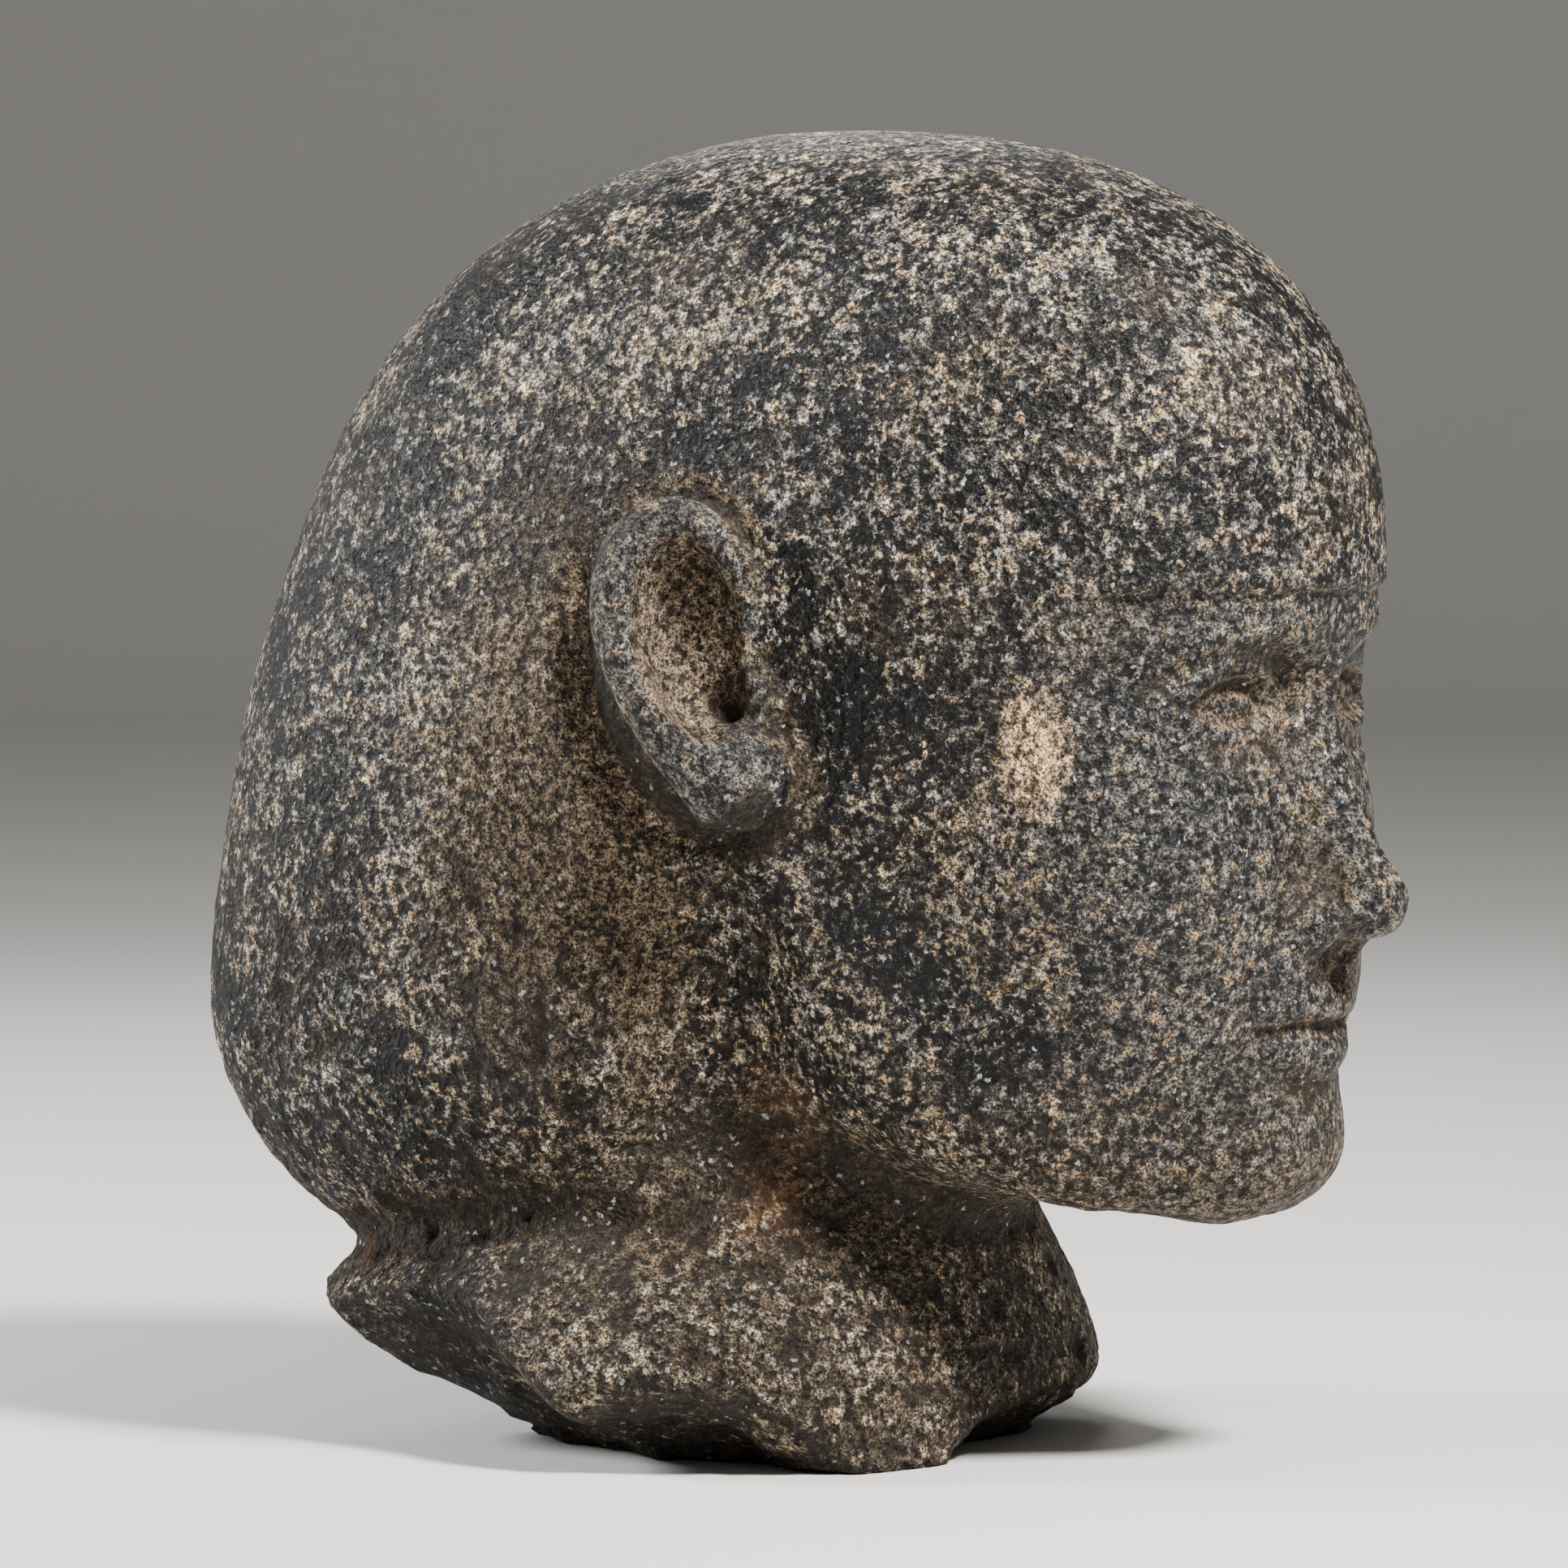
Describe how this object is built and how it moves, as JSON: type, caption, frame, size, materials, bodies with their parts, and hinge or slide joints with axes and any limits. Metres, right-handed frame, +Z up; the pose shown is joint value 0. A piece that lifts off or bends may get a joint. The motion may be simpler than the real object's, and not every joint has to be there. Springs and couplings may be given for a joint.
{
  "type": "granite head sculpture",
  "caption": "Life-size head broken from a carved granite statue, with a smooth bag-shaped head cloth, bare ears and a ragged break through the shoulders.",
  "frame": {"origin": "on the level bed that the broken underside rests on, under the middle of the bounding box", "axes": "+Z up, -Y the way the face looks, +X the head's own left"},
  "size_m": [0.2129, 0.2928, 0.3],
  "materials": {
    "granite": "satin"
  },
  "bodies": {
    "root": {"granite_head": "granite"}
  },
  "joints": []
}
